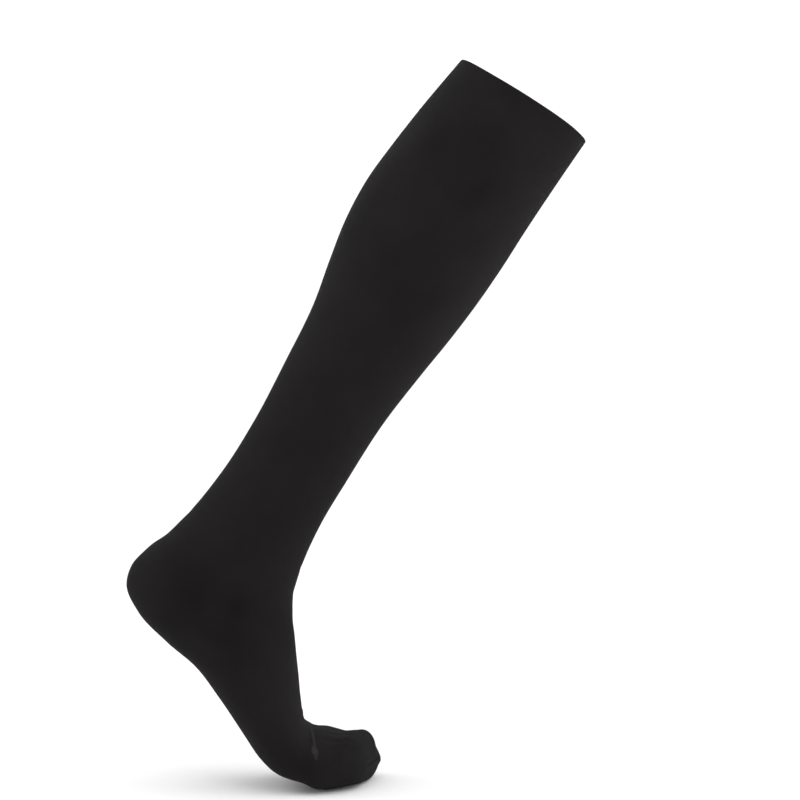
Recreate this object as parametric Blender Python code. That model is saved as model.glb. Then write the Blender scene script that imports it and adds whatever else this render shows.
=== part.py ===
"""A knee-high compression stocking for the right leg, worn and hollow: the leg leans forward over
a lifted heel and flat toes. The origin is the centre of the open top rim, +X points to the toes,
+Z up, and -Y to the outer side of the leg. Sizes are in millimetres until a mesh is made."""

import collections
import math

import bmesh
import bpy
import numpy as np

MM = 0.001

# Driving dimensions, in millimetres.
PLAIN_WALL = 1.2  # the fine stretch knit of leg and foot
DOUBLE_WALL = 2.4  # the top band is knitted double
REINFORCED_WALL = 1.8  # heel and toe cap
SEAM_GAP = 0.3  # between neighbouring pieces
POINTS_ROUND = 40  # points round each ring
FOLD_RINGS = 3  # rings over the rounded fold of the rim
OUTLINE_STEPS = 360  # fine steps from which a ring's evenly spaced points are read
SLOPE_STEP = 0.5  # how far either side the surface is read for its slope
SHARP_ANGLE = math.radians(40)

CHARCOAL = (0.018, 0.016, 0.017, 1.0)
REINFORCED_CHARCOAL = (0.021, 0.019, 0.020, 1.0)
MATT_KNIT = 0.9  # roughness

# A section is a slice across the stocking. x and z place its middle, and tilt is the angle above
# +X of the line through it, from the calf, heel or sole to the shin, instep or toe tops. depth is
# measured along that line and width across it, and widest is the share of the depth, from the
# back, at which it is widest. front_round and back_round are 2 for an ellipse and more for a
# squarer side. shift moves it towards the big toe's side, and slant, in degrees, is how far its
# plane turns ahead on that side.
Section = collections.namedtuple(
    "Section",
    "name x z tilt depth width widest front_round back_round shift slant",
)
SECTIONS = (
    Section("rim", 0, 0, -33.4, 102.2, 98, 0.50, 2.0, 2.0, 0, 0.6),
    Section("band edge", -27.4, -36.1, -33.8, 106.8, 102, 0.49, 2.0, 2.0, 0, 0),
    Section("upper calf", -44.8, -60.2, -33.8, 109.2, 105, 0.48, 2.0, 2.0, 0, 0),
    Section("full calf", -61.8, -85.2, -33.8, 111, 107, 0.47, 2.0, 2.0, 0, 0),
    Section("calf foot", -77.4, -110.6, -33.8, 107.7, 104, 0.47, 2.0, 2.0, 0, 0),
    Section("calf taper", -92.2, -136.9, -33.8, 99.4, 97, 0.48, 2.0, 2.0, 0, 0),
    Section("low taper", -107, -163.1, -33.8, 89.2, 88, 0.50, 2.0, 2.0, 0, 0),
    Section("lower leg", -130.8, -201.3, -33.8, 80.1, 76, 0.52, 2.0, 2.0, 0, 0),
    Section("narrow ankle", -153.5, -240.5, -33.8, 76.3, 65, 0.54, 2.0, 1.9, 0, 0),
    Section("ankle front", -173.8, -273.4, -29, 77.3, 65, 0.54, 2.0, 1.9, 0, 0),
    Section("ankle bones", -195.4, -306.6, -23, 89.6, 70, 0.52, 2.0, 2.0, 0, 0),
    Section("heel top", -209.4, -325.5, -19, 106.6, 72, 0.50, 2.0, 2.1, 0, 0),
    Section("heel bend", -214.9, -336.1, -16, 115.8, 71, 0.48, 2.0, 2.15, 0, 0),
    Section("heel back", -216.5, -345.3, -12.5, 117.5, 70, 0.46, 2.0, 2.2, 0, 0),
    Section("heel under", -212.1, -358.7, -8, 109, 69, 0.44, 2.0, 2.3, 0, 0),
    Section("heel foot", -202.1, -373, -2, 89.6, 69, 0.41, 2.0, 2.4, 0, 0),
    Section("arch", -190.9, -387, 5, 69.1, 71, 0.39, 2.0, 2.5, 0, 0),
    Section("instep", -183.3, -401.8, 13, 57.5, 77, 0.38, 2.0, 2.6, 0, 0),
    Section("ball", -172.6, -425.4, 30, 44.3, 88, 0.38, 2.1, 2.8, 0, 0),
    Section("toe line", -167, -436, 44, 41.5, 93, 0.40, 2.2, 2.9, 0, 0),
    Section("toe crease", -161.2, -443.8, 60, 38.7, 96.5, 0.42, 2.2, 3.0, 0, 0),
    Section("toe roots", -151.5, -449, 76, 36.3, 98, 0.43, 2.2, 3.1, 0, 3),
    Section("toes", -138, -452.8, 89, 38.2, 98, 0.43, 2.3, 3.2, 0, 6),
    Section("toe ends", -125, -453.8, 90, 35.7, 91, 0.46, 2.4, 3.0, 1.5, 9),
    Section("toe turn", -114, -453.6, 90, 34.2, 79.5, 0.48, 2.6, 3.0, 3, 12),
    Section("toe front", -107.8, -456.5, 90, 28.5, 66, 0.50, 2.4, 2.8, 5, 13),
    Section("toe seam", -105.2, -458, 90, 13, 52, 0.50, 2.2, 2.2, 6, 13),
)

# A piece runs from one section to another, with its rings this many spaces apart.
Piece = collections.namedtuple("Piece", "name start end spaces wall colour")
PIECES = (
    Piece("top_band", "rim", "band edge", 3, DOUBLE_WALL, CHARCOAL),
    Piece("calf", "band edge", "low taper", 10, PLAIN_WALL, CHARCOAL),
    Piece("ankle", "low taper", "ankle bones", 10, PLAIN_WALL, CHARCOAL),
    Piece("heel", "ankle bones", "arch", 16, REINFORCED_WALL, REINFORCED_CHARCOAL),
    Piece("foot", "arch", "toe roots", 12, PLAIN_WALL, CHARCOAL),
    Piece("toe_cap", "toe roots", "toe seam", 11, REINFORCED_WALL, REINFORCED_CHARCOAL),
)


def clear_scene():
    for thing in list(bpy.data.objects):
        bpy.data.objects.remove(thing, do_unlink=True)


def directions(tilt):
    """(to the front of a section, on towards the toes) for a tilt in degrees."""
    angle = math.radians(tilt)
    to_front = np.array([math.cos(angle), 0.0, math.sin(angle)])
    onward = np.array([math.sin(angle), 0.0, -math.cos(angle)])
    return to_front, onward


def edges_of(section):
    """The front and the back point of a section."""
    to_front, _ = directions(section.tilt)
    middle = np.array([section.x, 0.0, section.z])
    return middle + to_front * section.depth / 2, middle - to_front * section.depth / 2


def stations_of(sections):
    """How far down the stocking each section lies, along whichever side is the longer."""
    stations = [0.0]
    for above, below in zip(sections[:-1], sections[1:]):
        front_above, back_above = edges_of(above)
        front_below, back_below = edges_of(below)
        front_step = np.linalg.norm(front_below - front_above)
        back_step = np.linalg.norm(back_below - back_above)
        stations.append(stations[-1] + max(front_step, back_step))
    return np.array(stations)


class Form:
    """The smooth outer form through the sections. A place is a distance down the stocking."""

    def __init__(self, sections):
        self.names = [section.name for section in sections]
        self.stations = stations_of(sections)
        self.values = np.array([section[1:] for section in sections], float)
        self.slopes = np.gradient(self.values, self.stations, axis=0)

    def place(self, name):
        return self.stations[self.names.index(name)]

    def section(self, place):
        """The section at a place, read from a cubic curve through the table's rows."""
        place = min(max(place, self.stations[0]), self.stations[-1])
        after = min(max(np.searchsorted(self.stations, place), 1), len(self.stations) - 1)
        before = after - 1
        span = self.stations[after] - self.stations[before]
        share = (place - self.stations[before]) / span
        rest = 1 - share
        row = (
            (1 + 2 * share) * rest**2 * self.values[before]
            + (1 + 2 * rest) * share**2 * self.values[after]
            + share * rest**2 * span * self.slopes[before]
            - rest * share**2 * span * self.slopes[after]
        )
        return Section("", *row)

    def ring(self, place):
        """The points round the outside, evenly spaced from the front over the outer side."""
        section = self.section(place)
        turn = np.linspace(0, 2 * math.pi, OUTLINE_STEPS + 1)
        cosine, sine = np.cos(turn), np.sin(turn)
        power = 2 / np.where(cosine > 0, section.front_round, section.back_round)
        reach = section.depth * np.where(cosine > 0, 1 - section.widest, section.widest)
        offset = section.depth * (section.widest - 0.5)
        forward = offset + reach * np.sign(cosine) * np.abs(cosine) ** power
        across = -section.width / 2 * np.sign(sine) * np.abs(sine) ** power
        gone = np.hypot(np.diff(forward), np.diff(across)).cumsum()
        gone = np.concatenate([[0.0], gone])
        even = np.linspace(0, gone[-1], POINTS_ROUND, endpoint=False)
        forward, across = np.interp(even, gone, forward), np.interp(even, gone, across)
        to_front, onward = directions(section.tilt)
        ahead = across * math.tan(math.radians(section.slant))
        points = np.array([section.x, section.shift, section.z]) + np.outer(forward, to_front)
        return points + np.outer(ahead, onward) + np.outer(across, [0.0, 1.0, 0.0])

    def outward(self, place):
        """The outward directions at the points of the ring at a place."""
        down = self.ring(place + SLOPE_STEP) - self.ring(place - SLOPE_STEP)
        here = self.ring(place)
        around = np.roll(here, -1, axis=0) - np.roll(here, 1, axis=0)
        normal = np.cross(around, down)
        return normal / np.linalg.norm(normal, axis=1)[:, None]


def rim_fold(outer, inner):
    """The rings over the rounded fold from the inside of the rim to the outside."""
    _, onward = directions(SECTIONS[0].tilt)
    middle, half = (outer + inner) / 2, (outer - inner) / 2
    height = np.linalg.norm(half, axis=1)[:, None]
    turns = np.linspace(math.pi, 0, FOLD_RINGS + 2)[1:-1]
    return [middle + half * math.cos(t) - onward * height * math.sin(t) for t in turns]


def join_rings(mesh, first, second):
    count = len(first)
    for i in range(count):
        j = (i + 1) % count
        mesh.faces.new((first[i], first[j], second[j], second[i]))


def close_end(mesh, ring):
    """Closes a ring along a line from side to side, as a linked seam does."""
    half = len(ring) // 2
    quarter = half // 2
    for i in range(quarter, half + quarter):
        front_now, front_next = ring[(half - i) % len(ring)], ring[(half - i - 1) % len(ring)]
        corners = [ring[i], front_now, front_next, ring[(i + 1) % len(ring)]]
        mesh.faces.new(list(dict.fromkeys(corners)))


def knit_piece(form, piece):
    """One stretch of the stocking as a hollow wall with its form's outside."""
    is_top = piece.start == SECTIONS[0].name
    is_toe = piece.end == SECTIONS[-1].name
    margins = (piece.wall / 2 if is_top else SEAM_GAP / 2, 0 if is_toe else SEAM_GAP / 2)
    places = np.linspace(form.place(piece.start), form.place(piece.end), piece.spaces + 1)
    outer = [form.ring(place) for place in places]
    inner = [ring - piece.wall * form.outward(place) for ring, place in zip(outer, places)]
    for end, margin, sign in ((0, margins[0], 1), (-1, margins[1], -1)):
        _, onward = directions(form.section(places[end]).tilt)
        outer[end] = outer[end] + sign * margin * onward
        inner[end] = inner[end] + sign * margin * onward
    fold = rim_fold(outer[0], inner[0]) if is_top else []

    mesh = bmesh.new()
    rings = [[mesh.verts.new(p * MM) for p in ring] for ring in inner[::-1] + fold + outer]
    for first, second in zip(rings[:-1], rings[1:]):
        join_rings(mesh, first, second)
    if is_toe:
        close_end(mesh, rings[0])
        close_end(mesh, rings[-1])
    else:
        join_rings(mesh, rings[-1], rings[0])
    bmesh.ops.recalc_face_normals(mesh, faces=mesh.faces)
    data = bpy.data.meshes.new(piece.name)
    mesh.to_mesh(data)
    mesh.free()
    data.shade_smooth()
    data.set_sharp_from_angle(angle=SHARP_ANGLE)
    data.materials.append(knit_material(piece))
    thing = bpy.data.objects.new(piece.name, data)
    bpy.context.scene.collection.objects.link(thing)


def knit_material(piece):
    material = bpy.data.materials.new(piece.name + "_knit")
    material.use_nodes = True
    shader = material.node_tree.nodes["Principled BSDF"]
    shader.inputs["Base Color"].default_value = piece.colour
    shader.inputs["Roughness"].default_value = MATT_KNIT
    shader.inputs["Metallic"].default_value = 0.0
    return material


def main():
    clear_scene()
    form = Form(SECTIONS)
    for piece in PIECES:
        knit_piece(form, piece)


main()
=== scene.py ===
"""The finish of a worn knee-high compression stocking for the right leg: fine charcoal knit with a
double top band, a reinforced heel and toe cap, a linked toe seam and a thin grey toe line. The
stocking's sizes are in millimetres until a mesh is made, and the studio's are in metres. A turn is
in degrees round the leg, from the front over the outer side."""

import collections
import math

import bpy
import numpy as np
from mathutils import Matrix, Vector


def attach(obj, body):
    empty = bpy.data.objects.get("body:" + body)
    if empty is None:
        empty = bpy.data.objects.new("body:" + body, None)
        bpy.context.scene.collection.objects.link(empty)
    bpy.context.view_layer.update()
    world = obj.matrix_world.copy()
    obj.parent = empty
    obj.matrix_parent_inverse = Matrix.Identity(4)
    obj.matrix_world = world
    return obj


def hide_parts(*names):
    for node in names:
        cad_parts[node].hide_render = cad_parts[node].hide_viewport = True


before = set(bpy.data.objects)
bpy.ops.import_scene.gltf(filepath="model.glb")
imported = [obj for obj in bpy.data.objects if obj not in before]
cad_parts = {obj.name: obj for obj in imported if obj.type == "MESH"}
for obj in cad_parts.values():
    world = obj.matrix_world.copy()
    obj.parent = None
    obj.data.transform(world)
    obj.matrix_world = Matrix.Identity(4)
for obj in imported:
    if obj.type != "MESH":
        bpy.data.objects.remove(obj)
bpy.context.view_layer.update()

MM = 0.001
ROW_SPACE = 1.7  # between the rows of points down the cloth
LINING_SHARE = 4  # the inside of the cloth has one row for this many outside
POINTS_ROUND = 264
OUTLINE_STEPS = 1440  # fine steps from which a ring's evenly spaced points are read
FOLD_RINGS = 7  # over the rounded fold of the rim
NOSE_RINGS = 8  # over the rounded end of the toe, in to its seam
NOSE_RISE = 1.2
SEAM_DEPTH = 0.9  # what is left of the toe's end where the seam closes it

WALES = 400  # stitches round the stocking
COURSE = 0.62  # height of a row of stitches

# A section is a slice across the stocking. x and z place its middle, and tilt is the angle above
# +X of the line through it, from the calf, heel or sole to the shin, instep or toe tops. depth is
# measured along that line and width across it, and widest is the share of the depth, from the
# back, at which it is widest. front_round and back_round are 2 for an ellipse and more for a
# squarer side. shift moves it towards the big toe's side, and slant, in degrees, is how far its
# plane turns ahead on that side.
Section = collections.namedtuple(
    "Section",
    "name x z tilt depth width widest front_round back_round shift slant",
)
SECTIONS = (
    Section("rim", 0, 0, -33.4, 102.2, 98, 0.50, 2.0, 2.0, 0, 0.6),
    Section("band edge", -27.4, -36.1, -33.8, 106.8, 102, 0.49, 2.0, 2.0, 0, 0),
    Section("upper calf", -44.8, -60.2, -33.8, 109.2, 105, 0.48, 2.0, 2.0, 0, 0),
    Section("full calf", -61.8, -85.2, -33.8, 111, 107, 0.47, 2.0, 2.0, 0, 0),
    Section("calf foot", -77.4, -110.6, -33.8, 107.7, 104, 0.47, 2.0, 2.0, 0, 0),
    Section("calf taper", -92.2, -136.9, -33.8, 99.4, 97, 0.48, 2.0, 2.0, 0, 0),
    Section("low taper", -107, -163.1, -33.8, 89.2, 88, 0.50, 2.0, 2.0, 0, 0),
    Section("lower leg", -130.8, -201.3, -33.8, 80.1, 76, 0.52, 2.0, 2.0, 0, 0),
    Section("narrow ankle", -153.5, -240.5, -33.8, 76.3, 65, 0.54, 2.0, 1.9, 0, 0),
    Section("ankle front", -173.8, -273.4, -29, 77.3, 65, 0.54, 2.0, 1.9, 0, 0),
    Section("ankle bones", -195.4, -306.6, -23, 89.6, 70, 0.52, 2.0, 2.0, 0, 0),
    Section("heel top", -209.4, -325.5, -19, 106.6, 72, 0.50, 2.0, 2.1, 0, 0),
    Section("heel bend", -214.9, -336.1, -16, 115.8, 71, 0.48, 2.0, 2.15, 0, 0),
    Section("heel back", -216.5, -345.3, -12.5, 117.5, 70, 0.46, 2.0, 2.2, 0, 0),
    Section("heel under", -212.1, -358.7, -8, 109, 69, 0.44, 2.0, 2.3, 0, 0),
    Section("heel foot", -202.1, -373, -2, 89.6, 69, 0.41, 2.0, 2.4, 0, 0),
    Section("arch", -190.9, -387, 5, 69.1, 71, 0.39, 2.0, 2.5, 0, 0),
    Section("instep", -183.3, -401.8, 13, 57.5, 77, 0.38, 2.0, 2.6, 0, 0),
    Section("ball", -172.6, -425.4, 30, 44.3, 88, 0.38, 2.1, 2.8, 0, 0),
    Section("toe line", -167, -436, 44, 41.5, 93, 0.40, 2.2, 2.9, 0, 0),
    Section("toe crease", -161.2, -443.8, 60, 38.7, 96.5, 0.42, 2.2, 3.0, 0, 0),
    Section("toe roots", -151.5, -449, 76, 36.3, 98, 0.43, 2.2, 3.1, 0, 3),
    Section("toes", -138, -452.8, 89, 38.2, 98, 0.43, 2.3, 3.2, 0, 6),
    Section("toe ends", -125, -453.8, 90, 35.7, 91, 0.46, 2.4, 3.0, 1.5, 9),
    Section("toe turn", -114, -453.6, 90, 34.2, 79.5, 0.48, 2.6, 3.0, 3, 12),
    Section("toe front", -107.8, -456.5, 90, 28.5, 66, 0.50, 2.4, 2.8, 5, 13),
    Section("toe seam", -105.2, -458, 90, 13, 52, 0.50, 2.2, 2.2, 6, 13),
)

# Soft rises, and hollows where height is less than nothing. place is how far down the stocking
# the middle lies. along is in millimetres and aside in degrees, each to where a third is left.
Swell = collections.namedtuple("Swell", "name place turn along aside height")
SWELLS = (
    Swell("upper outer dent", 55, 112, 13, 13, -0.4),
    Swell("upper outer hollow", 73, 72, 24, 14, -0.6),
    Swell("upper inner hollow", 84, -78, 27, 16, -0.6),
    Swell("outer calf flank", 257, 119, 32, 22, -0.6),
    Swell("inner calf flank", 243, -121, 35, 20, -0.7),
    Swell("under the calf", 341, 126, 24, 18, -0.5),
    Swell("outer ankle bone", 391, 88, 21, 22, 1.5),
    Swell("inner ankle bone", 383, -84, 23, 23, 1.6),
    Swell("behind the outer ankle bone", 397, 128, 25, 15, -0.9),
    Swell("behind the inner ankle bone", 393, -128, 24, 15, -0.9),
    Swell("below the outer ankle bone", 429, 98, 16, 17, -1.0),
    Swell("before the outer ankle bone", 430, 62, 17, 16, -1.1),
    Swell("below the inner ankle bone", 431, -88, 20, 22, -1.0),
    Swell("inner arch", 503, -112, 33, 19, -1.2),
    Swell("over the heel", 389, 180, 9, 34, -1.1),
    Swell("ball fold under the foot", 624, 180, 6, 80, -0.9),
    Swell("behind the toe bend", 579, -8, 8, 26, -0.55),
    Swell("toe knuckles", 634, 0, 6, 55, 0.8),
    Swell("behind the big toe's nail", 649, -42, 7, 20, -1.2),
    Swell("above the big toe's tip", 668.5, -70, 5.5, 17, -1.8),
    Swell("big toe's tip", 677, -102, 5, 14, 1.1),
    Swell("under the toe ends", 666, 152, 5, 24, -1.2),
    Swell("behind the toe pads", 625, 126, 9, 22, -0.8),
    Swell("over the little toe", 652, 64, 17, 20, -1.9),
    Swell("big toe joint", 571, -97, 18, 17, 0.9),
    Swell("little toe joint", 575, 93, 15, 14, 0.6),
    Swell("first toe gap", 656, -28, 16, 6.5, -1.1),
    Swell("second toe gap", 653, -3, 15, 5.6, -0.7),
    Swell("third toe gap", 651, 19, 14, 5.4, -0.6),
    Swell("fourth toe gap", 648, 42, 13, 5.6, -0.6),
)

# A crease runs round the leg for reach degrees either side of its middle. It climbs by slant
# millimetres in ten degrees and bows by bow at its ends, and width is half of its trough.
Crease = collections.namedtuple("Crease", "name place turn reach slant bow width height")
CREASES = (
    Crease("under the band behind", 55, 150, 33, 0.5, 3.0, 3.4, -0.20),
    Crease("upper ankle front", 352, -27, 26, 0.6, 3.0, 3.6, -0.36),
    Crease("ankle front inside", 371, -19, 35, -0.5, 4.5, 3.6, -0.60),
    Crease("ankle front outside", 377, 32, 24, 0.9, 3.5, 3.8, -0.40),
    Crease("lower ankle front", 396, -14, 33, 0.8, 5.5, 5.2, -0.46),
    Crease("instep top", 428, 24, 22, -1.2, 6.0, 7.0, -0.30),
    Crease("high over the tendon", 351, 206, 24, 0.7, -3.0, 3.4, -0.42),
    Crease("over the tendon", 367, 200, 32, -0.6, -4.5, 3.2, -0.55),
    Crease("low over the tendon", 380, 156, 20, 0.9, -3.5, 3.4, -0.34),
    Crease("outer heel side", 452, 104, 24, 2.0, 4.0, 4.4, -0.30),
    Crease("inner heel side", 447, -107, 29, -1.7, 4.0, 4.8, -0.52),
    Crease("inner arch high", 507, -119, 30, 1.3, 3.0, 3.0, -0.58),
    Crease("inner arch low", 524, -130, 21, 1.9, 2.0, 2.6, -0.48),
    Crease("toe bend behind", 578, 31, 25, 0.8, -3.0, 3.0, -0.26),
    Crease("toe bend", 594, 8, 46, -0.4, -4.0, 2.6, -0.40),
    Crease("toe bend ahead", 604, -19, 32, 0.9, -3.0, 2.6, -0.42),
)

# The rim is not quite level: rise millimetres at a turn, and a third of it aside degrees away.
RimWave = collections.namedtuple("RimWave", "turn aside rise")
RIM_WAVES = (
    RimWave(48, 26, 0.5),
    RimWave(124, 30, -0.5),
    RimWave(-58, 34, -0.4),
    RimWave(-132, 28, 0.5),
)
RIM_WAVE_REACH = 9  # how far down the stocking a wave is felt

# Patches of painted shade, darker where shade falls, and of painted light where depth is less than
# nothing. along and aside are as for a swell, and depth is the share of the cloth's tone that is
# lost.
PaintedShading = collections.namedtuple("PaintedShading", "place turn along aside depth")
PAINTED_SHADING_PATCHES = (
    # outer side
    PaintedShading(14, 88, 22, 30, -0.30),
    PaintedShading(64, 127, 12, 10, 0.25),
    PaintedShading(74, 75, 17, 11, 0.40),
    PaintedShading(80, 104, 16, 9, -0.12),
    PaintedShading(106, 139, 20, 12, 0.20),
    PaintedShading(129, 108, 20, 12, -0.15),
    PaintedShading(140, 152, 40, 18, 0.38),
    PaintedShading(147, 58, 20, 13, 0.30),
    PaintedShading(190, 94, 22, 14, -0.25),
    PaintedShading(314, 90, 18, 16, -0.20),
    PaintedShading(428, 64, 13, 10, 0.40),
    PaintedShading(429, 100, 12, 10, 0.25),
    PaintedShading(428, 145, 22, 16, -0.35),
    PaintedShading(480, 112, 22, 14, -0.40),
    PaintedShading(534, 82, 22, 14, -0.20),
    PaintedShading(636, 22, 14, 42, 0.35),
    PaintedShading(655, 78, 8, 14, -0.20),
    PaintedShading(675, 10, 10, 60, 0.25),
    # inner side
    PaintedShading(30, -60, 20, 20, -0.20),
    PaintedShading(66, -96, 18, 13, 0.32),
    PaintedShading(118, -58, 22, 12, 0.25),
    PaintedShading(139, -120, 18, 14, -0.20),
    PaintedShading(205, -84, 24, 14, 0.24),
    PaintedShading(262, -110, 18, 13, -0.20),
    PaintedShading(318, -72, 16, 12, 0.26),
    PaintedShading(402, -104, 16, 12, 0.30),
    PaintedShading(437, -66, 14, 11, 0.30),
    PaintedShading(470, -120, 20, 14, -0.25),
    PaintedShading(549, -88, 20, 14, 0.20),
    PaintedShading(610, -100, 14, 16, 0.20),
    # front and back
    PaintedShading(90, 4, 22, 14, 0.22),
    PaintedShading(250, -12, 24, 15, 0.20),
    PaintedShading(210, 180, 26, 16, 0.22),
    PaintedShading(330, 172, 18, 16, -0.20),
    PaintedShading(560, 176, 22, 18, 0.24),
)

# lean is how many courses the two legs of a stitch lean together, and depth is the knit's relief.
Knit = collections.namedtuple("Knit", "name lean depth")
PLAIN_KNIT = Knit("plain_charcoal_knit", 0.9, 0.24)
BAND_KNIT = Knit("band_charcoal_knit", 0.5, 0.30)
REINFORCED_KNIT = Knit("reinforced_charcoal_knit", 1.3, 0.27)

# Each cloth stands for its nodes and lies between two sections. The flat cut is the slack tube
# that shows: its widest round, its length and its area, in metres.
Cloth = collections.namedtuple("Cloth", "name start end nodes wall knit slot round length area")
CLOTHS = (
    Cloth(
        "band_knit", "rim", "band edge", ("top_band",), 2.4, BAND_KNIT, "plain_knit",
        round=0.230, length=0.045, area=0.0103,
    ),
    Cloth(
        "leg_knit", "band edge", "ankle bones", ("calf", "ankle"), 1.2, PLAIN_KNIT, "plain_knit",
        round=0.245, length=0.320, area=0.0627,
    ),
    Cloth(
        "heel_knit", "ankle bones", "arch", ("heel",), 1.8, REINFORCED_KNIT, "reinforced_knit",
        round=0.215, length=0.096, area=0.0175,
    ),
    Cloth(
        "foot_knit", "arch", "toe roots", ("foot",), 1.2, PLAIN_KNIT, "plain_knit",
        round=0.165, length=0.079, area=0.0123,
    ),
    Cloth(
        "toe_knit", "toe roots", "toe seam", ("toe_cap",), 1.8, REINFORCED_KNIT, "reinforced_knit",
        round=0.168, length=0.057, area=0.0083,
    ),
)

# A loop of yarn that shows on the cloth. rise is how far its middle stands over its line, and its
# ends lie as far under it. lean is how far it goes aside for each millimetre along. sunk is how
# deep its line lies in the cloth, and apart is how far a stitch's two legs lie from its middle.
Loop = collections.namedtuple("Loop", "length rise lean sunk apart thickness points")
BAND_LOOP = Loop(1.9, 0.09, 0.35, 0.15, 0, 0.42, 7)
SEAM_LOOP = Loop(1.3, 0.14, 0.5, 0.14, 0.52, 0.42, 7)
GREY_LOOP = Loop(0.8, 0.05, 0.3, 0, 0.15, 0.26, 5)
BAND_LOOPS = 196  # round the lower edge of the band
SEAM_PITCH = 0.68  # from one stitch of the toe seam to the next
SEAM_FADE = 4  # over this much of each end the seam's loops sink into the cloth
SEAM_END_SUNK = 0.22  # how much deeper they lie at the very end
YARN_SIDES = 6

# The grey toe line as turns and places, from the big toe's side over the toes to the outer side.
TOE_LINE = (
    (-62, 615.0), (-40, 612.5), (-20, 612.0), (0, 615.4), (35, 625.4), (49, 629.6),
    (56, 631.2), (66, 632.4), (73, 634.4), (77, 636.7),
)
TOE_LINE_SMOOTH = 8  # degrees either side over which the line's corners are evened out
TOE_LINE_SAMPLES = 9
TOE_LINE_ROWS = 2  # courses either side of the line's middle one
TOE_BAR = (59.5, 72.5)  # the turns where the line widens to a short bar with rounded corners
TOE_BAR_ROWS = 5
TOE_BAR_CORNER = 0.11  # degrees lost at each end of the bar, for a course squared from its middle

# The two colours between which a knit or a yarn varies.
Shades = collections.namedtuple("Shades", "dark light")
CHARCOAL = Shades((0.0040, 0.0035, 0.0037, 1), (0.0182, 0.0160, 0.0169, 1))
SEAM_CHARCOAL = Shades((0.008, 0.0071, 0.0075, 1), (0.018, 0.016, 0.017, 1))
TOE_GREY = Shades((0.020, 0.0193, 0.0189, 1), (0.034, 0.0332, 0.0324, 1))

# The knit's tone goes from 0, its dark colour, to 1, its light one. It is the sum of what the
# stitches give it, as painted shade in the hollows between their legs and courses, and what the yarn
# and the clouds give it, less a drop.
STITCH_HOLLOW_SHADE = 0.55
YARN_TONE = 0.18
CLOUD_TONE = 0.45
TONE_DROP = 0.065
STRAND_SHARE = 0.65  # how much of a stitch's height goes up and down with its courses
YARN_PATCHES = 1500  # patches of yarn to the metre
CLOUD_PATCHES = 27  # soft clouds of tone to the metre
FUZZ_PATCHES = 2600  # patches of fuzz to the metre, on yarn that is seen on its own
KNIT_ROUGHNESS = 0.76
YARN_ROUGHNESS = 0.78
ROUGHNESS_SPREAD = 0.16
KNIT_BUMP = 0.9  # the strength of the knit's relief
YARN_IN_BUMP = 0.3  # what the yarn adds to it
YARN_BUMP = 0.4  # the strength of the relief on yarn that is seen on its own, and its depth
YARN_DEPTH = 0.08
CLOTH_SHADER = {
    "Specular IOR Level": 0.05,
    "Sheen Weight": 0.022,
    "Sheen Roughness": 0.5,
    "Sheen Tint": (0.80, 0.78, 0.80, 1.0),
}

# The closer knit of the heel and of the toe's end, also darkened there as painted shade, comes in
# from a first place to a second one. On the heel's sides it comes in by the share of the way round
# from the middle of the back.
HEEL_TOP = (386, 414)
HEEL_FOOT = (500, 462)
HEEL_SIDES = (0.38, 0.26)
TOE_END = (636, 668)
HEEL_PAINTED_SHADE = 0.22  # the share of the tone that is lost there
TOE_PAINTED_SHADE = 0.42

FLOOR_HEIGHT = -0.4722  # just under the ball of the foot
FLOOR_HALF = 60.0
FLOOR_WHITE = (0.92, 0.92, 0.92, 1)
FLOOR_ROUGHNESS = 0.9
ROOM_LIGHT = 1.12  # the white light from all round
Light = collections.namedtuple("Light", "name place size power")
LIGHTS = (
    Light("front_light", (0.9, -2.1, 1.1), 1.2, 10),
    Light("shin_light", (2.0, -0.3, 0.3), 1.2, 9),
    Light("calf_light", (-2.0, 0.2, 0.5), 1.2, 8),
)
LIGHTS_AIM = (-0.12, 0, -0.2)
CAMERA_PLACE = (-0.0993, -1.989, -0.12)
CAMERA_DOWN = 2.4688  # degrees below level
CAMERA_AHEAD = 0.41  # degrees from +Y towards the toes
LENS = 130  # in millimetres, as is the sensor's width
SENSOR = 36


def unit(vectors):
    """The same directions, each with a length of 1."""
    return vectors / np.linalg.norm(vectors, axis=-1, keepdims=True)


def gone_along(steps):
    """How far along a line each of its points lies, from the lengths of the steps between them."""
    return np.concatenate([[0.0], np.cumsum(steps)])


def directions(tilt):
    """(to the front of a section, on towards the toes) for a tilt in degrees."""
    angle = math.radians(tilt)
    to_front = np.array([math.cos(angle), 0.0, math.sin(angle)])
    onward = np.array([math.sin(angle), 0.0, -math.cos(angle)])
    return to_front, onward


def edges_of(section):
    """The front and the back point of a section."""
    to_front, _ = directions(section.tilt)
    middle = np.array([section.x, 0.0, section.z])
    return middle + to_front * section.depth / 2, middle - to_front * section.depth / 2


def stations_of(sections):
    """How far down the stocking each section lies, along whichever side is the longer."""
    steps = []
    for above, below in zip(sections[:-1], sections[1:]):
        steps.append(max(map(math.dist, edges_of(above), edges_of(below))))
    return gone_along(steps)


class Form:
    """The smooth outer form through the sections. A place is a distance down the stocking."""

    def __init__(self, sections):
        self.names = [section.name for section in sections]
        self.stations = stations_of(sections)
        self.values = np.array([section[1:] for section in sections], float)
        self.slopes = np.gradient(self.values, self.stations, axis=0)

    def place(self, name):
        """How far down the stocking a named section lies."""
        return self.stations[self.names.index(name)]

    def section(self, place):
        """The section at a place, read from a cubic curve through the table's rows."""
        after = min(max(np.searchsorted(self.stations, place), 1), len(self.stations) - 1)
        before = after - 1
        span = self.stations[after] - self.stations[before]
        share = (place - self.stations[before]) / span
        rest = 1 - share
        row = (
            (1 + 2 * share) * rest**2 * self.values[before]
            + (1 + 2 * rest) * share**2 * self.values[after]
            + share * rest**2 * span * self.slopes[before]
            - rest * share**2 * span * self.slopes[after]
        )
        return Section("", *row)


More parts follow.
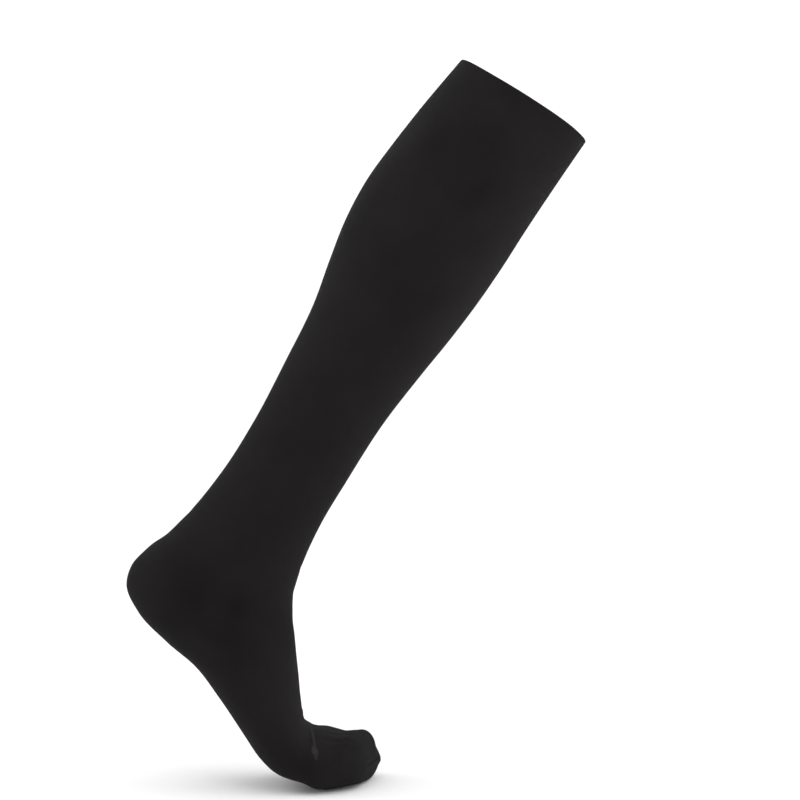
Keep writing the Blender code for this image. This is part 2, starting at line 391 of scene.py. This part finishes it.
def ring_of(section):
    """The points round a section, evenly spaced from the front over the outer side."""
    turn = np.linspace(0, 2 * math.pi, OUTLINE_STEPS + 1)
    cosine, sine = np.cos(turn), np.sin(turn)
    power = 2 / np.where(cosine > 0, section.front_round, section.back_round)
    reach = section.depth * np.where(cosine > 0, 1 - section.widest, section.widest)
    offset = section.depth * (section.widest - 0.5)
    forward = offset + reach * np.sign(cosine) * np.abs(cosine) ** power
    across = -section.width / 2 * np.sign(sine) * np.abs(sine) ** power
    gone = gone_along(np.hypot(np.diff(forward), np.diff(across)))
    even = np.linspace(0, gone[-1], POINTS_ROUND, endpoint=False)
    forward, across = np.interp(even, gone, forward), np.interp(even, gone, across)
    to_front, onward = directions(section.tilt)
    ahead = across * math.tan(math.radians(section.slant))
    points = np.array([section.x, section.shift, section.z]) + np.outer(forward, to_front)
    return points + np.outer(ahead, onward) + np.outer(across, [0.0, 1.0, 0.0])


def nose_rings(seam):
    """The rings over the rounded end of the toe, from its last section in to its seam."""
    _, onward = directions(seam.tilt)
    rings = []
    for share in np.linspace(0, 1, NOSE_RINGS + 1)[1:]:
        less = share * (seam.depth - SEAM_DEPTH)
        rounded = seam._replace(depth=seam.depth - less, width=seam.width - less)
        rise = NOSE_RISE * (1 - (1 - share) ** 2)
        rings.append(ring_of(rounded) + rise * onward)
    return rings


def wrapped(turns):
    """The same turns between -180 and 180 degrees."""
    return (turns + 180) % 360 - 180


def within(spot, places, turns):
    """How far each place and turn is within a soft round spot: 1 in its middle and 0 far off."""
    down = (places - spot.place) / spot.along
    aside = wrapped(turns - spot.turn) / spot.aside
    return np.exp(-(down**2) - aside**2)


def painted_shading_depth(places, turns):
    """How much of the tone painted shade takes, or painted light gives, at each place and turn."""
    return sum(patch.depth * within(patch, places, turns) for patch in PAINTED_SHADING_PATCHES)


def relief(places, turns):
    """How far the cloth stands out from the smooth form, at each place and turn."""
    height = sum(swell.height * within(swell, places, turns) for swell in SWELLS)
    for crease in CREASES:
        aside = wrapped(turns - crease.turn)
        share = np.clip(np.abs(aside) / crease.reach, 0, 1)
        line = crease.place + crease.slant * aside / 10 + crease.bow * share**2
        fade = (1 - share**2) ** 2
        height += crease.height * fade * np.exp(-(((places - line) / crease.width) ** 2))
    return height


def rim_rise(places, turns):
    """How far the cloth is pulled up near the rim, at each place and turn."""
    rise = sum(
        wave.rise * np.exp(-((wrapped(turns - wave.turn) / wave.aside) ** 2))
        for wave in RIM_WAVES
    )
    return rise * np.exp(-((places / RIM_WAVE_REACH) ** 2))


def outward_of(points):
    """The outward directions over rows of rings."""
    around = np.roll(points, -1, axis=1) - np.roll(points, 1, axis=1)
    down = np.gradient(points, axis=0)
    return unit(np.cross(around, down))


class Surface:
    """The outside of the whole stocking as rows of rings, with its rises, hollows and creases."""

    def __init__(self, form):
        self.rows_at = {}
        places = [0.0]
        for cloth in CLOTHS:
            start, end = form.place(cloth.start), form.place(cloth.end)
            spaces = math.ceil((end - start) / ROW_SPACE)
            first = len(places) - 1
            places += list(np.linspace(start, end, spaces + 1)[1:])
            self.rows_at[cloth.name] = (first, len(places) - 1)
        rings = [ring_of(form.section(place)) for place in places]
        seam = form.section(places[-1])
        nose_space = (seam.depth - SEAM_DEPTH) / 2 / NOSE_RINGS
        places += [places[-1] + nose_space * ring for ring in range(1, NOSE_RINGS + 1)]
        self.places = np.array(places)
        self.turns = np.arange(POINTS_ROUND) * 360 / POINTS_ROUND
        _, down_the_leg = directions(SECTIONS[0].tilt)
        rise = rim_rise(self.places[:, None], self.turns[None, :])
        smooth = np.array(rings + nose_rings(seam)) - rise[:, :, None] * down_the_leg
        height = relief(self.places[:, None], self.turns[None, :])
        self.points = smooth + height[:, :, None] * outward_of(smooth)
        self.outward = outward_of(self.points)

    def at(self, place, turn):
        """(point, outward, onward, round) on the cloth at a place and a turn."""
        row = np.interp(place, self.places, np.arange(len(self.places)))
        above = min(int(row), len(self.places) - 2)
        column = (turn % 360) / 360 * POINTS_ROUND
        left = int(column) % POINTS_ROUND
        right = (left + 1) % POINTS_ROUND
        down, aside = row - above, column - int(column)

        def blend(grid):
            upper = grid[above, left] * (1 - aside) + grid[above, right] * aside
            lower = grid[above + 1, left] * (1 - aside) + grid[above + 1, right] * aside
            return upper * (1 - down) + lower * down

        outward = unit(blend(self.outward))
        around = unit(self.points[above, right] - self.points[above, left])
        return blend(self.points), outward, unit(np.cross(outward, around)), around


def strip_faces(first, second):
    """The faces between two rings that start at these points."""
    here = np.arange(POINTS_ROUND)
    beyond = (here + 1) % POINTS_ROUND
    return np.stack([first + here, first + beyond, second + beyond, second + here], axis=1)


def end_faces(start, is_outside):
    """The faces that close a ring along a line from side to side, as a linked seam does."""
    half = POINTS_ROUND // 2
    faces = []
    for i in range(half // 2, half + half // 2):
        top, next_top = (half - i) % POINTS_ROUND, (half - i - 1) % POINTS_ROUND
        corners = list(dict.fromkeys([i, top, next_top, (i + 1) % POINTS_ROUND]))
        if is_outside:
            corners.reverse()
        faces.append([start + corner for corner in corners])
    return faces


def rim_fold(inner_edge, outer_edge, wall):
    """(points, outward directions, places) of the rings over the rounded fold of the rim."""
    _, onward = directions(SECTIONS[0].tilt)
    fold = wall / 2
    middle, half = (outer_edge + inner_edge) / 2, (outer_edge - inner_edge) / 2
    turns = np.linspace(math.pi, 0, FOLD_RINGS + 2)[1:-1]
    rises = np.array([half * math.cos(turn) - onward * fold * math.sin(turn) for turn in turns])
    return middle + rises, unit(rises), fold * np.cos(turns)


def cloth_rings(surface, cloth):
    """(points, outward directions, places) of a cloth's rings, up its inside and down its outside."""
    first, last = surface.rows_at[cloth.name]
    is_toe = cloth.end == SECTIONS[-1].name
    lining = list(range(last, first, -LINING_SHARE)) + [first]
    outer_rows = list(range(first, len(surface.places) if is_toe else last + 1))
    inner = surface.points[lining] - cloth.wall * surface.outward[lining]
    outer = surface.points[outer_rows]
    parts = [
        (inner, -surface.outward[lining], -surface.places[lining]),
        (outer, surface.outward[outer_rows], surface.places[outer_rows]),
    ]
    if cloth.start == SECTIONS[0].name:
        _, onward = directions(SECTIONS[0].tilt)
        inner[-1] += cloth.wall / 2 * onward
        outer[0] += cloth.wall / 2 * onward
        parts.insert(1, rim_fold(inner[-1], outer[0], cloth.wall))
    return tuple(np.concatenate(group) for group in zip(*parts))


def add_object(name, data, finish):
    """A mesh as an object of the scene, in its finish."""
    data.materials.append(finish.material)
    thing = bpy.data.objects.new(name, data)
    bpy.context.scene.collection.objects.link(thing)
    return thing


def map_stitches(data, rows, end_corners):
    """Maps each corner of the faces to its count of wales round and of courses down, from the
    places above and below each row of faces. The end of the toe is all at the last place."""
    across = np.arange(POINTS_ROUND) * WALES / POINTS_ROUND
    step = WALES / POINTS_ROUND
    left = np.stack([across, across + step, across + step, across], axis=1)
    counts = []
    for above, below in rows:
        down = np.broadcast_to(np.array([above, above, below, below]) / COURSE, left.shape)
        counts.append(np.stack([left, down], axis=2).reshape(-1, 2))
    lowest = rows[-1][1]
    counts.append(np.tile([0.0, lowest / COURSE], (end_corners, 1)))
    layer = data.uv_layers.new(name="stitches")
    layer.uv.foreach_set("vector", np.concatenate(counts).astype(np.float32).ravel())


def give_painted_shading(data, depths):
    """Gives each point of the cloth the depth of its painted shade and painted light."""
    painted_shading = data.attributes.new("painted_shading", "FLOAT", "POINT")
    painted_shading.data.foreach_set("value", depths.astype(np.float32).ravel())


def cloth_piece(surface, cloth, finish):
    """One cloth as a thin closed wall, with its map of stitches and its painted shade and light."""
    rings, normals, places = cloth_rings(surface, cloth)
    starts = np.arange(len(rings)) * POINTS_ROUND
    strips = [strip_faces(a, b) for a, b in zip(starts[:-1], starts[1:])]
    rows = list(zip(places[:-1], places[1:]))
    ends = []
    if cloth.end == SECTIONS[-1].name:
        ends = end_faces(starts[0], False) + end_faces(starts[-1], True)
    else:
        strips.append(strip_faces(starts[-1], starts[0]))
        rows.append((places[-1], places[-1] + cloth.wall))
    data = bpy.data.meshes.new(cloth.name)
    faces = np.concatenate(strips).tolist() + ends
    data.from_pydata((rings.reshape(-1, 3) * MM).tolist(), [], faces)
    map_stitches(data, rows, sum(len(face) for face in ends))
    # the depth of painted shade and painted light at each point
    give_painted_shading(data, painted_shading_depth(np.abs(places)[:, None], surface.turns[None, :]))
    data.shade_smooth()
    data.normals_split_custom_set_from_vertices(normals.reshape(-1, 3).tolist())
    piece = add_object(cloth.name, data, finish)
    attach(piece, "root")
    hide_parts(*cloth.nodes)


def yarn_piece(name, paths, outward, loop, finish):
    """One mesh of short lengths of yarn, each along its path and closed at both ends."""
    points, faces = [], []
    angles = np.arange(YARN_SIDES) * 2 * math.pi / YARN_SIDES
    for path, out in zip(paths, outward):
        run = unit(np.gradient(path, axis=0))
        side = unit(np.cross(run, out))
        rise = np.cross(side, run)
        start = len(points)
        for middle, aside, up in zip(path, side, rise):
            for angle in angles:
                spoke = math.cos(angle) * aside + math.sin(angle) * up
                points.append(middle + loop.thickness / 2 * spoke)
        for ring in range(len(path) - 1):
            here = start + ring * YARN_SIDES
            for i in range(YARN_SIDES):
                j = (i + 1) % YARN_SIDES
                faces.append((here + i, here + j, here + YARN_SIDES + j, here + YARN_SIDES + i))
        last = start + (len(path) - 1) * YARN_SIDES
        faces.append(tuple(start + i for i in reversed(range(YARN_SIDES))))
        faces.append(tuple(last + i for i in range(YARN_SIDES)))
    data = bpy.data.meshes.new(name)
    data.from_pydata([tuple(point * MM) for point in points], [], faces)
    data.shade_smooth()
    return add_object(name, data, finish)


def loop_path(middle, along, out, loop):
    """A yarn's path over a stitch, with both ends sunk in the cloth."""
    share = np.linspace(-1, 1, loop.points)[:, None]
    return middle + along * share * loop.length / 2 + out * (loop.rise * (1 - 2 * share**2))


def band_stitches(surface, form, finish):
    """The row of transferred loops that holds the lower edge of the double band."""
    place = form.place("band edge")
    paths, outs = [], []
    for i in range(BAND_LOOPS):
        middle, out, onward, around = surface.at(place, i * 360 / BAND_LOOPS)
        along = unit(onward + BAND_LOOP.lean * around)
        paths.append(loop_path(middle - BAND_LOOP.sunk * out, along, out, BAND_LOOP))
        outs.append(out)
    return yarn_piece("band_stitches", paths, outs, BAND_LOOP, finish)


def toe_seam(surface, finish):
    """The linked loops that close the toe: two slanted legs each, over its rounded end."""
    end_ring = surface.points[-1]
    half = POINTS_ROUND // 2
    columns = np.arange(half // 2, half + half // 2 + 1)
    line = (end_ring[columns] + end_ring[(half - columns) % POINTS_ROUND]) / 2
    gone = gone_along(np.linalg.norm(np.diff(line, axis=0), axis=1))
    _, ahead = directions(SECTIONS[-1].tilt)
    paths, outs = [], []
    for gone_by in np.linspace(0, gone[-1], int(gone[-1] / SEAM_PITCH)):
        middle = np.array([np.interp(gone_by, gone, line[:, k]) for k in range(3)])
        near_end = min(gone_by, gone[-1] - gone_by) / SEAM_FADE
        sunk = SEAM_LOOP.sunk + SEAM_END_SUNK * max(0.0, 1 - near_end)
        for side in (-1, 1):
            along = unit(np.array([0.0, SEAM_LOOP.lean * side, 1.0]))
            leg = middle + side * SEAM_LOOP.apart * along - sunk * ahead
            paths.append(loop_path(leg, along, ahead, SEAM_LOOP))
            outs.append(ahead)
    return yarn_piece("toe_seam", paths, outs, SEAM_LOOP, finish)


def toe_line_place(turn):
    """How far down the stocking the toe line lies, with the table's corners smoothed."""
    turns, places = zip(*TOE_LINE)
    near = turn + np.linspace(-TOE_LINE_SMOOTH, TOE_LINE_SMOOTH, TOE_LINE_SAMPLES)
    return np.interp(near, turns, places).mean()


def is_grey(wale, row, turn):
    """Whether a stitch of the toe line is grey: every second one, and all of the bar's."""
    corner = TOE_BAR_CORNER * row**2
    if TOE_BAR[0] + corner <= turn <= TOE_BAR[1] - corner:
        return True
    return abs(row) <= TOE_LINE_ROWS and (wale + row) % 2 == 0


def toe_line(surface, finish):
    """Plain courses of grey stitches across the toes, with a short bar on the outer side."""
    paths, outs = [], []
    turns = np.arange(TOE_LINE[0][0], TOE_LINE[-1][0], 360 / WALES)
    for wale, turn in enumerate(turns):
        for row in range(-TOE_BAR_ROWS, TOE_BAR_ROWS + 1):
            if not is_grey(wale, row, turn):
                continue
            place = toe_line_place(turn) + row * COURSE
            middle, out, onward, around = surface.at(place, turn)
            for side in (-1, 1):
                along = unit(onward + side * GREY_LOOP.lean * around)
                leg = middle + side * GREY_LOOP.apart * around
                paths.append(loop_path(leg, along, out, GREY_LOOP))
                outs.append(out)
    return yarn_piece("toe_line", paths, outs, GREY_LOOP, finish)


class Value:
    """A number that changes over a surface. Sums on it become parts of its finish."""

    def __init__(self, finish, socket):
        self.finish = finish
        self.socket = socket

    def __add__(self, other):
        return self.finish.math("ADD", self, other)

    def __radd__(self, other):
        return self.finish.math("ADD", other, self)

    def __sub__(self, other):
        return self.finish.math("SUBTRACT", self, other)

    def __rsub__(self, other):
        return self.finish.math("SUBTRACT", other, self)

    def __mul__(self, other):
        return self.finish.math("MULTIPLY", self, other)

    def __rmul__(self, other):
        return self.finish.math("MULTIPLY", other, self)


class Finish:
    """A finish, with the numbers that are the same all over it set on its shader."""

    def __init__(self, name, numbers):
        self.material = bpy.data.materials.new(name)
        self.material.use_nodes = True
        self.tree = self.material.node_tree
        self.shader = self.tree.nodes["Principled BSDF"]
        for socket, number in numbers.items():
            self.shader.inputs[socket].default_value = number

    def node(self, kind, settings, sockets):
        """A node, with its settings made first and its sockets given values or links."""
        made = self.tree.nodes.new(kind)
        for name, setting in settings.items():
            setattr(made, name, setting)
        for name, value in sockets.items():
            if isinstance(value, Value):
                self.tree.links.new(value.socket, made.inputs[name])
            else:
                made.inputs[name].default_value = value
        return made

    def math(self, operation, *values):
        """The result of a Math node on values."""
        made = self.node("ShaderNodeMath", {"operation": operation}, dict(enumerate(values)))
        return Value(self, made.outputs[0])

    def mix(self, factor, low, high):
        """A colour between two. A Mix node takes colours at 6 and 7 and gives one at 2."""
        sockets = {0: factor, 6: low, 7: high}
        made = self.node("ShaderNodeMix", {"data_type": "RGBA"}, sockets)
        return Value(self, made.outputs[2])

    def noise(self, patches, detail):
        """A soft random number from 0 to 1, in about this many patches to the metre."""
        coordinates = self.node("ShaderNodeTexCoord", {}, {})
        place = Value(self, coordinates.outputs["Object"])
        sockets = {"Vector": place, "Scale": patches, "Detail": detail}
        made = self.node("ShaderNodeTexNoise", {}, sockets)
        return Value(self, made.outputs[0])

    def ramp(self, value, start, end):
        """From 0 to 1, softly, as a value goes from start to end."""
        sockets = {"Value": value, "From Min": start, "From Max": end}
        made = self.node("ShaderNodeMapRange", {"interpolation_type": "SMOOTHSTEP"}, sockets)
        return Value(self, made.outputs[0])

    def stitch_counts(self):
        """The count of wales round and of courses down, from the cloth's own map."""
        made = self.node("ShaderNodeUVMap", {"uv_map": "stitches"}, {})
        place = Value(self, made.outputs[0])
        split = self.node("ShaderNodeSeparateXYZ", {}, {"Vector": place})
        return Value(self, split.outputs[0]), Value(self, split.outputs[1])

    def painted_shading(self):
        """How deep the painted shade is, from the cloth's own patches, less than nothing for painted
        light.
        """
        made = self.node("ShaderNodeAttribute", {"attribute_name": "painted_shading"}, {})
        return Value(self, made.outputs["Fac"])

    def feed(self, socket, value):
        """Gives the shader a value that changes over the surface."""
        self.tree.links.new(value.socket, self.shader.inputs[socket])

    def bump(self, strength, depth, height):
        """A relief as deep as this where height goes from 0 to 1."""
        sockets = {"Strength": strength, "Distance": depth * MM, "Height": height}
        made = self.node("ShaderNodeBump", {}, sockets)
        self.feed("Normal", Value(self, made.outputs[0]))


def close_knit_and_painted_shade(finish, wale, course):
    """The share of the tone lost as painted shade over the closer knit of the heel and the toe's end.
    """

    def comes_in(first, second):
        return finish.ramp(course, first / COURSE, second / COURSE)

    from_behind = finish.math("ABSOLUTE", wale - WALES / 2)
    sides = finish.ramp(from_behind, WALES * HEEL_SIDES[0], WALES * HEEL_SIDES[1])
    heel = comes_in(*HEEL_TOP) * comes_in(*HEEL_FOOT) * sides
    # the heel and the toe's end are darkened as painted shade, over and above their closer knit
    return HEEL_PAINTED_SHADE * heel + TOE_PAINTED_SHADE * comes_in(*TOE_END)


def knit_finish(knit):
    """Fine knit: each stitch has two legs that lean together, and the yarn varies in tone."""
    finish = Finish(knit.name, CLOTH_SHADER)
    wale, course = finish.stitch_counts()
    aside = finish.math("ABSOLUTE", finish.math("FRACT", wale) - 0.5)
    bend = 4 * aside - 1
    leg = 1 - bend * bend
    strand = 0.5 + 0.5 * finish.math("COSINE", 2 * math.pi * (course + knit.lean * aside))
    stitch = leg * (1 - STRAND_SHARE + STRAND_SHARE * strand)
    yarn = finish.noise(YARN_PATCHES, detail=2)
    cloud = finish.noise(CLOUD_PATCHES, detail=3)
    # darker in the hollows between the stitches' legs and courses: painted shade
    tone = STITCH_HOLLOW_SHADE * stitch + YARN_TONE * yarn + CLOUD_TONE * cloud - TONE_DROP
    # the patches of painted shade and painted light darken or lighten the tone
    tone = tone * (1 - close_knit_and_painted_shade(finish, wale, course) - finish.painted_shading())
    finish.feed("Base Color", finish.mix(tone, CHARCOAL.dark, CHARCOAL.light))
    finish.feed("Roughness", KNIT_ROUGHNESS + ROUGHNESS_SPREAD * yarn)
    finish.bump(KNIT_BUMP, knit.depth, stitch + YARN_IN_BUMP * yarn)
    return finish


def yarn_finish(name, shades):
    """Twisted yarn that is seen on its own, as in a seam."""
    finish = Finish(name, CLOTH_SHADER)
    fuzz = finish.noise(FUZZ_PATCHES, detail=3)
    finish.feed("Base Color", finish.mix(fuzz, shades.dark, shades.light))
    finish.feed("Roughness", YARN_ROUGHNESS + ROUGHNESS_SPREAD * fuzz)
    finish.bump(YARN_BUMP, YARN_DEPTH, fuzz)
    return finish


def dress_stocking():
    """All that shows of the stocking: its five cloths and the yarn on them."""
    form = Form(SECTIONS)
    surface = Surface(form)
    finishes = {knit: knit_finish(knit) for knit in (PLAIN_KNIT, BAND_KNIT, REINFORCED_KNIT)}
    for cloth in CLOTHS:
        cloth_piece(surface, cloth, finishes[cloth.knit])
    seam_yarn = yarn_finish("seam_yarn", SEAM_CHARCOAL)
    grey_yarn = yarn_finish("grey_toe_yarn", TOE_GREY)
    trims = (
        (band_stitches(surface, form, seam_yarn), "plain_knit"),
        (toe_seam(surface, seam_yarn), "reinforced_knit"),
        (toe_line(surface, grey_yarn), "reinforced_knit"),
    )
    for trim, slot in trims:
        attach(trim, "root")


def floor():
    """The plain pale floor, which isn't part of the stocking."""
    finish = Finish("pale_floor", {"Base Color": FLOOR_WHITE, "Roughness": FLOOR_ROUGHNESS})
    corners = [(-1, -1), (1, -1), (1, 1), (-1, 1)]
    data = bpy.data.meshes.new("floor")
    points = [(x * FLOOR_HALF, y * FLOOR_HALF, FLOOR_HEIGHT) for x, y in corners]
    data.from_pydata(points, [], [(0, 1, 2, 3)])
    add_object("floor", data, finish)


def soft_light(light):
    """A round soft light, turned to the middle of the stocking."""
    data = bpy.data.lights.new(light.name, "AREA")
    data.shape = "DISK"
    data.size = light.size
    data.energy = light.power
    thing = bpy.data.objects.new(light.name, data)
    thing.location = light.place
    aim = Vector(LIGHTS_AIM) - Vector(light.place)
    thing.rotation_euler = aim.to_track_quat("-Z", "Y").to_euler()
    bpy.context.scene.collection.objects.link(thing)


def studio():
    """The floor, the white room and its three lights."""
    floor()
    world = bpy.data.worlds.new("studio")
    world.use_nodes = True
    background = world.node_tree.nodes["Background"]
    background.inputs["Color"].default_value = (1, 1, 1, 1)
    background.inputs["Strength"].default_value = ROOM_LIGHT
    bpy.context.scene.world = world
    bpy.context.scene.view_settings.view_transform = "Standard"
    for light in LIGHTS:
        soft_light(light)


def camera():
    """The camera, a long lens that looks along +Y and a little down."""
    data = bpy.data.cameras.new("camera")
    data.lens = LENS
    data.sensor_width = SENSOR
    thing = bpy.data.objects.new("camera", data)
    thing.location = CAMERA_PLACE
    thing.rotation_euler = (math.radians(90 - CAMERA_DOWN), 0, math.radians(-CAMERA_AHEAD))
    bpy.context.scene.collection.objects.link(thing)
    bpy.context.scene.camera = thing


camera()
studio()
dress_stocking()
